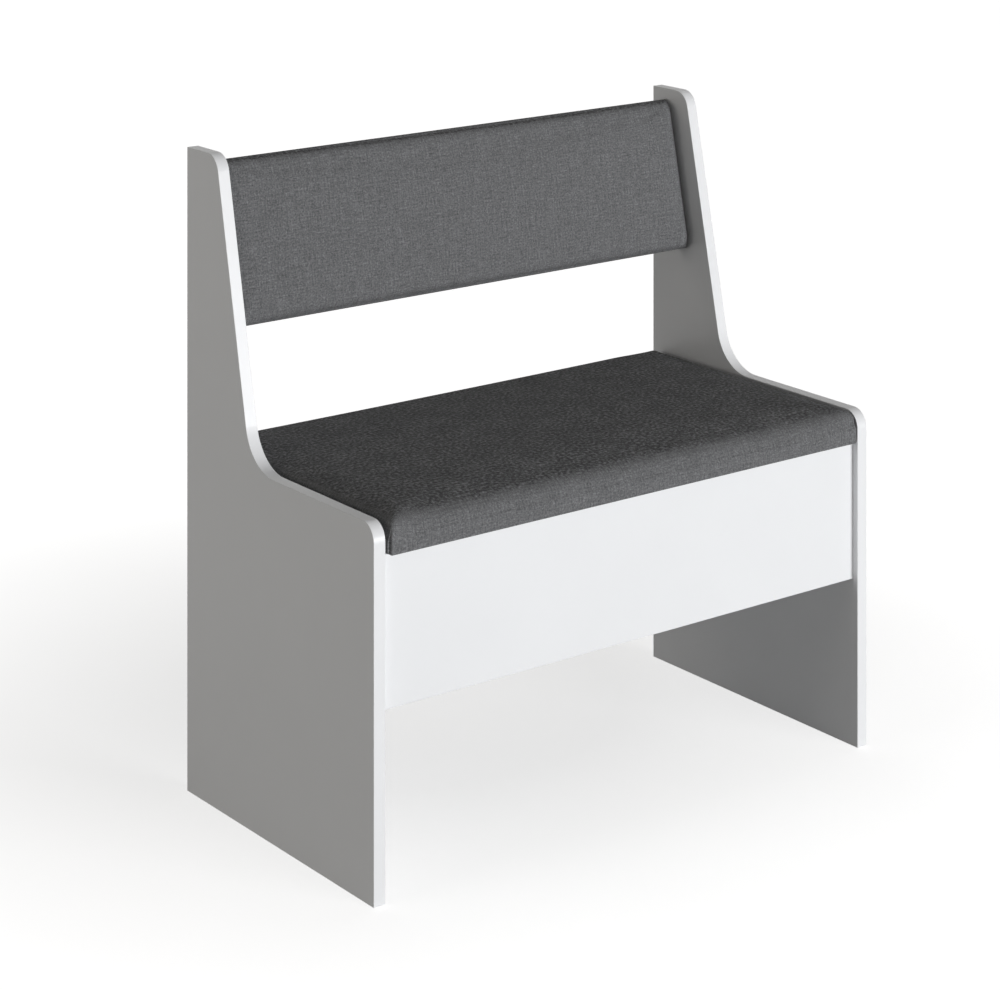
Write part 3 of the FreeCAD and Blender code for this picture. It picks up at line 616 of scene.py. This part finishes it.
def pad_mesh(name, half_x, half_y, thick, front_roll, back_roll, end_round, corner_round, crown):
    """The skin of a pad, with its weave map. Towards its ends, its long sides take the ends' own roll."""
    cells_x = round(2 * half_x / CELL)
    cells_y = round(2 * half_y / CELL)
    flat_x = half_x - end_round
    flat_front = half_y - front_roll[0]
    flat_back = half_y - back_roll[0]
    corners = (0, cells_x, cells_x + cells_y, 2 * cells_x + cells_y)
    at_ends = pad_profile(end_round, end_round, thick)
    profiles = (pad_profile(*front_roll, thick), at_ends, pad_profile(*back_roll, thick), at_ends)
    runs = [[0] + arc_lengths(thick, profile) for profile in profiles]
    sides = (
        (Vector((1, 0)), Vector((0, -1)), flat_front),
        (Vector((0, 1)), Vector((1, 0)), flat_x),
        (Vector((-1, 0)), Vector((0, 1)), flat_back),
        (Vector((0, -1)), Vector((-1, 0)), flat_x),
    )

    def side_of(step):
        return sum(step >= corner for corner in corners) - 1

    def crown_at(x, y):
        across = y / (flat_front if y < 0 else flat_back)
        return crown * max(1 - (x / flat_x) ** CROWN_ALONG, 0) * max(1 - across ** CROWN_ACROSS, 0)

    def ring_at(at_front, at_end, at_back):
        over = smooth((at_end[1] - BOARD_TOP) / CORNER_EASE)
        radius = BOARD_CORNER + (corner_round - BOARD_CORNER) * over
        reach_x = flat_x + at_end[0]
        reach_front = flat_front + at_front[0]
        reach_back = flat_back + at_back[0]
        middle = (reach_back - reach_front) / 2
        spots = []
        for step, (x, y) in enumerate(outline(reach_x, reach_front + middle, radius, cells_x, cells_y)):
            y += middle
            reach, height = (reach_front, at_front[1]) if y < 0 else (reach_back, at_back[1])
            share = 1 if side_of(step) % 2 else 1 - smooth((reach_x - abs(x)) / CORNER_BLEND)
            wider = (half_y - end_round + at_end[0]) / reach - 1
            spots.append(Vector((x, y * (1 + wider * share), height + (at_end[1] - height) * share)))
        return spots

    # the crowned top
    points = ring_at((0, thick), (0, thick), (0, thick))
    ring = list(range(len(points)))
    faces = grid_faces(fill_rim(points, ring, cells_x, cells_y, crown_at))
    spots = [[points[corner].xy for corner in face] for face in faces]

    # rings down the sides and in under the board
    for station in range(len(at_ends)):
        new_ring = list(range(len(points), len(points) + len(ring)))
        points += ring_at(*[profile[station] for profile in profiles[:3]])
        for step in range(len(ring)):
            side = side_of(step)
            along, outward, base = sides[side]
            before, now = runs[side][station:station + 2]
            after = (step + 1) % len(ring)
            face = (ring[step], new_ring[step], new_ring[after], ring[after])
            faces.append(face)
            spots.append([
                along * along.dot(points[corner].xy) + outward * (base + run)
                for corner, run in zip(face, (before, now, now, before))
            ])
        ring = new_ring

    # the bed of the board
    bed = [face[::-1] for face in grid_faces(fill_rim(points, ring, cells_x, cells_y, lambda x, y: 0))]
    faces += bed
    spots += [[points[corner].xy for corner in face] for face in bed]

    # sides drawn in between the corners, above the board
    for point in points:
        above = smooth((point.z - BOARD_TOP) / (thick - front_roll[1] - BOARD_TOP))
        point.y *= 1 - DRAW_IN / half_y * above * (1 - (point.x / half_x) ** 2)

    mesh = bpy.data.meshes.new(name)
    mesh.from_pydata(points, [], faces)
    weave = mesh.uv_layers.new(name=WEAVE_MAP)
    for corner, spot in zip(weave.data, [spot for face_spots in spots for spot in face_spots]):
        corner.uv = spot
    mesh.shade_smooth()
    pad = bpy.data.objects.new(name, mesh)
    SCENE.collection.objects.link(pad)
    return pad


def finish_piece(piece, finish, body):
    """Give a piece its finish and the body that it rides on."""
    piece.data.materials.append(FINISHES[finish])
    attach(piece, body)


# Stuffing: the cloth over the foam swells under pressure and is held along the board

SWELL_PRESSURE = 4
SWELL_FRAMES = 20
SWELL_MOST = 2.5 * MM
SWELL_EASE = 14 * MM
CLOTH_STIFFNESS = 20
CLOTH_BENDING = 2
HELD = "held"


def swell(pad):
    """Blow the cloth over a pad's foam up, and keep the shape."""
    points = pad.data.vertices
    loose = {point.index for point in points if point.co.z > BOARD_TOP + 2 * BED_GAP}
    faces = [tuple(face.vertices) for face in pad.data.polygons if loose.intersection(face.vertices)]
    used = sorted({corner for face in faces for corner in face})
    numbers = {corner: number for number, corner in enumerate(used)}
    before = [points[corner].co.copy() for corner in used]
    mesh = bpy.data.meshes.new("skin")
    mesh.from_pydata(before, [], [[numbers[corner] for corner in face] for face in faces])
    skin = bpy.data.objects.new("skin", mesh)
    SCENE.collection.objects.link(skin)
    held = skin.vertex_groups.new(name=HELD)
    held.add([numbers[corner] for corner in used if corner not in loose], 1, "REPLACE")

    cloth = skin.modifiers.new("swell", "CLOTH")
    cloth.settings.vertex_group_mass = HELD
    cloth.settings.tension_stiffness = CLOTH_STIFFNESS
    cloth.settings.compression_stiffness = CLOTH_STIFFNESS
    cloth.settings.bending_stiffness = CLOTH_BENDING
    cloth.settings.use_pressure = True
    cloth.settings.uniform_pressure_force = SWELL_PRESSURE
    cloth.settings.effector_weights.gravity = 0
    cloth.point_cache.frame_end = SWELL_FRAMES
    for step in range(1, SWELL_FRAMES + 1):
        SCENE.frame_set(step)
    swollen = skin.evaluated_get(bpy.context.evaluated_depsgraph_get()).data.vertices
    for corner, old, new in zip(used, before, swollen):
        move = (new.co - old) * smooth((old.z - BOARD_TOP) / SWELL_EASE)
        points[corner].co = old + move * min(1, SWELL_MOST / max(move.length, SWELL_MOST))
    bpy.data.meshes.remove(mesh)
    SCENE.frame_set(1)


def soften(pad):
    """One round of subdivision, so that rims and rolls are smooth."""
    finer = pad.modifiers.new("finer", "SUBSURF")
    finer.levels = finer.render_levels = 1
    finer.use_limit_surface = False


# Folds: at each corner of the seat the spare cloth is folded flat against the end

FOLD_BACK = 4.2 * MM
FOLD_WIDTH = 24 * MM
FOLD_THICK = 2.8 * MM
FOLD_THIN = 0.2 * MM
FOLD_SINK = 0.8 * MM
FOLD_LOW = 1.5 * MM
FOLD_HIGH = 33 * MM
FOLD_CELLS = (8, 12)
FOLD_REACH = 30 * MM
FOLD_TAPER = 0.5
FOLD_FULL = 0.4


def fold_mesh(pad, side, front, half_x, half_y):
    """A flap of cloth on one end of a pad, thickest along its folded edge and thinning up and inwards."""
    points = [point.co for point in pad.data.vertices]
    skin = BVHTree.FromPolygons(points, [tuple(face.vertices) for face in pad.data.polygons])
    across, up = FOLD_CELLS
    outer = []
    inner = []
    for row in range(up + 1):
        rise = row / up
        for column in range(across + 1):
            run = (column / across) ** 2
            y = front * (half_y - FOLD_BACK - FOLD_WIDTH * run * (1 - FOLD_TAPER * rise))
            z = FOLD_LOW + (FOLD_HIGH - FOLD_LOW) * rise
            start = Vector((side * (half_x + FOLD_REACH), y, z))
            hit = skin.ray_cast(start, Vector((-side, 0, 0)))[0] or skin.find_nearest(start)[0]
            full = (1 - smooth(run)) * (1 - smooth(rise * (1 + FOLD_FULL) - FOLD_FULL))
            thick = FOLD_THIN + (FOLD_THICK - FOLD_THIN) * full
            outer.append(hit + Vector((side * thick, 0, 0)))
            inner.append(hit - Vector((side * FOLD_SINK, 0, 0)))
    count = len(outer)
    rows = [list(range(row * (across + 1), (row + 1) * (across + 1))) for row in range(up + 1)]
    faces = grid_faces(rows)
    faces += [tuple(corner + count for corner in face[::-1]) for face in faces]
    rim = rows[0] + [row[-1] for row in rows[1:-1]] + rows[-1][::-1] + [row[0] for row in rows[-2:0:-1]]
    faces += [(a, a + count, b + count, b) for a, b in zip(rim, rim[1:] + rim[:1])]
    if side * front > 0:
        faces = [face[::-1] for face in faces]
    mesh = bpy.data.meshes.new("fold")
    mesh.from_pydata(outer + inner, [], faces)
    weave = mesh.uv_layers.new(name=WEAVE_MAP)
    for loop, corner in zip(mesh.loops, weave.data):
        place = mesh.vertices[loop.vertex_index].co
        corner.uv = (place.z, place.y)
    mesh.shade_smooth()
    fold = bpy.data.objects.new("fold", mesh)
    SCENE.collection.objects.link(fold)
    return fold


def join(piece, others):
    """Make other meshes part of a piece."""
    with bpy.context.temp_override(active_object=piece, selected_editable_objects=[piece, *others]):
        bpy.ops.object.join()


# Staples hold the cloth to the undersides of the boards

STAPLE_LONG = 10 * MM
STAPLE_WIRE = (1.2 * MM, 0.6 * MM)
STAPLE_LEG = 2 * MM
STAPLE_TILT = math.radians(9)
STAPLE_STRAY = 1.2 * MM
SEED = 7


def staple_lines(half_x, half_y, inset, spacing, ends):
    """Places for staples round a board, with the way that each lies."""
    places = []
    for half_run, half_out, turned in ((half_x, half_y, False), (half_y, half_x, True)):
        count = round(2 * (half_run - ends) / spacing)
        for step in range(count + 1):
            run = (half_run - ends) * (2 * step / count - 1)
            for side in (-1, 1):
                out = side * (half_out - inset)
                places.append((out, run, QUARTER_TURN) if turned else (run, out, 0))
    return places


def staples(name, places, height):
    """Wire staples seen from below, as one piece."""
    chance = random.Random(SEED)
    wire, deep = STAPLE_WIRE
    half = STAPLE_LONG / 2
    blocks = (
        ((-half, half), (-deep, 0)),
        ((-half, -half + wire), (0, STAPLE_LEG)),
        ((half - wire, half), (0, STAPLE_LEG)),
    )
    points = []
    faces = []
    for x, y, way in places:
        turn = Matrix.Rotation(way + chance.uniform(-STAPLE_TILT, STAPLE_TILT), 3, "Z")
        stray = [chance.uniform(-STAPLE_STRAY, STAPLE_STRAY) for _ in "xy"]
        spot = Vector((x, y, height)) + Vector((*stray, 0))
        for (start, end), up in blocks:
            first = len(points)
            ring = [(start, -wire / 2), (end, -wire / 2), (end, wire / 2), (start, wire / 2)]
            for z in up:
                points += [spot + turn @ Vector((*corner, z)) for corner in ring]
            faces.append(tuple(first + step for step in (3, 2, 1, 0)))
            faces.append(tuple(first + step for step in (4, 5, 6, 7)))
            for step in range(4):
                after = (step + 1) % 4
                faces.append((first + step, first + after, first + 4 + after, first + 4 + step))
    mesh = bpy.data.meshes.new(name)
    mesh.from_pydata(points, [], faces)
    piece = bpy.data.objects.new(name, mesh)
    SCENE.collection.objects.link(piece)
    return piece


# Seat

SEAT_THICK = 42.7 * MM
SEAT_FRONT_ROLL = (30 * MM, 21 * MM)
SEAT_BACK_ROLL = (8 * MM, 8 * MM)
SEAT_END_ROUND = 11 * MM
SEAT_CORNER = 5 * MM
SEAT_CROWN = 2.5 * MM
SEAT_STAPLES = {"inset": 39 * MM, "spacing": 38 * MM, "ends": 62 * MM}
LEAF_MARGIN = 8 * MM


def add_seat():
    """The seat's foam and cover as one pad, with its folds and staples."""
    low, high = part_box("seat_cover")
    middle = (low + high) / 2
    half_x = (high.x - low.x) / 2
    half_y = (high.y - low.y) / 2
    place = Matrix.Translation((middle.x, middle.y, low.z))
    pad = pad_mesh(
        "seat_cushion", half_x, half_y, SEAT_THICK, SEAT_FRONT_ROLL, SEAT_BACK_ROLL,
        SEAT_END_ROUND, SEAT_CORNER, SEAT_CROWN,
    )
    swell(pad)
    join(pad, [fold_mesh(pad, side, front, half_x, half_y) for side in (-1, 1) for front in (-1, 1)])
    pad.data.transform(place)
    soften(pad)
    finish_piece(pad, "woven_fabric", "seat_lid")
    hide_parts("seat_cover", "seat_foam")

    leaves = [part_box(name) for name in ("left_hinge_moving_leaf", "right_hinge_moving_leaf")]

    def free(x, y):
        spot = place @ Vector((x, y, 0))
        return not any(
            leaf[0].x - LEAF_MARGIN < spot.x < leaf[1].x + LEAF_MARGIN
            and leaf[0].y - LEAF_MARGIN < spot.y < leaf[1].y + LEAF_MARGIN
            for leaf in leaves
        )

    spots = [spot for spot in staple_lines(half_x, half_y, **SEAT_STAPLES) if free(*spot[:2])]
    wires = staples("seat_staples", spots, 0)
    wires.data.transform(place)
    finish_piece(wires, "zinc_plated_steel", "seat_lid")


# Backrest

LEAN = math.radians(12.3)
REST_HEIGHT = 205 * MM
REST_THICK = 37 * MM
REST_ROLL = (15 * MM, 13 * MM)
REST_END_ROUND = 15 * MM
REST_CORNER = 14 * MM
REST_CROWN = 2.5 * MM
LINING_FLAT = (724 * MM, 197 * MM)
LINING_THICK = 0.4 * MM
LINING_OUT = 0.6 * MM
LINING_SINK = 0.5 * MM
LINING_PUCKER = 0.25 * MM
LINING_STAPLES = {"inset": 5.5 * MM, "spacing": 60 * MM, "ends": 32 * MM}


def rest_matrix():
    """From the backrest's pad frame to the bench."""
    low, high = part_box("backrest_board")
    upright = Matrix.Rotation(QUARTER_TURN - LEAN, 4, "X")
    to_middle = Matrix.Translation((0, 0, -BOARD_TOP + BOARD_THICK / 2))
    return Matrix.Translation((low + high) / 2) @ upright @ to_middle


def add_backrest():
    """The backrest's foam and cover as one pad."""
    low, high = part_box("backrest_cover")
    half_x = (high.x - low.x) / 2
    half_y = REST_HEIGHT / 2
    pad = pad_mesh(
        "backrest_cushion", half_x, half_y, REST_THICK, REST_ROLL, REST_ROLL,
        REST_END_ROUND, REST_CORNER, REST_CROWN,
    )
    swell(pad)
    pad.data.transform(rest_matrix())
    soften(pad)
    finish_piece(pad, "woven_fabric", "frame")
    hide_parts("backrest_cover", "backrest_foam")


def add_lining():
    """The lining over the back of the backrest, sunk a little inside the turned-in cover, and stapled."""
    half_x, half_y = (side / 2 for side in LINING_FLAT)
    cells_x = round(2 * half_x / CELL)
    cells_y = round(2 * half_y / CELL)
    points = []
    for step_y in range(cells_y + 1):
        y = half_y * (2 * step_y / cells_y - 1)
        for step_x in range(cells_x + 1):
            x = half_x * (2 * step_x / cells_x - 1)
            edge = min(half_x - abs(x), half_y - abs(y))
            run = x if half_y - abs(y) < half_x - abs(x) else y
            wave = math.cos(2 * math.pi * run / LINING_STAPLES["spacing"])
            pucker = LINING_PUCKER * wave * (1 - smooth(edge / TURN_IN)) * smooth(edge / (2 * CELL))
            points.append((x, y, -LINING_OUT + LINING_SINK * smooth((edge - TURN_IN) / CELL) + pucker))
    rows = [list(range(row * (cells_x + 1), (row + 1) * (cells_x + 1))) for row in range(cells_y + 1)]
    mesh = bpy.data.meshes.new("lining")
    mesh.from_pydata(points, [], [face[::-1] for face in grid_faces(rows)])
    flat = mesh.uv_layers.new(name=WEAVE_MAP)
    for loop, corner in zip(mesh.loops, flat.data):
        corner.uv = points[loop.vertex_index][:2]
    mesh.shade_smooth()
    mesh.transform(rest_matrix())
    lining = bpy.data.objects.new("lining", mesh)
    SCENE.collection.objects.link(lining)
    body = lining.modifiers.new("body", "SOLIDIFY")
    body.thickness = LINING_THICK
    finish_piece(lining, "lining_cloth", "frame")
    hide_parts("backrest_lining")

    spots = staple_lines(half_x, half_y, **LINING_STAPLES)
    wires = staples("lining_staples", spots, -LINING_OUT)
    wires.data.transform(rest_matrix())
    finish_piece(wires, "zinc_plated_steel", "frame")


add_camera()
light_room()
for lamp_name, lamp in LAMPS.items():
    add_lamp(lamp_name, **lamp)
add_floor()
dress_nodes()
add_seat()
add_backrest()
add_lining()
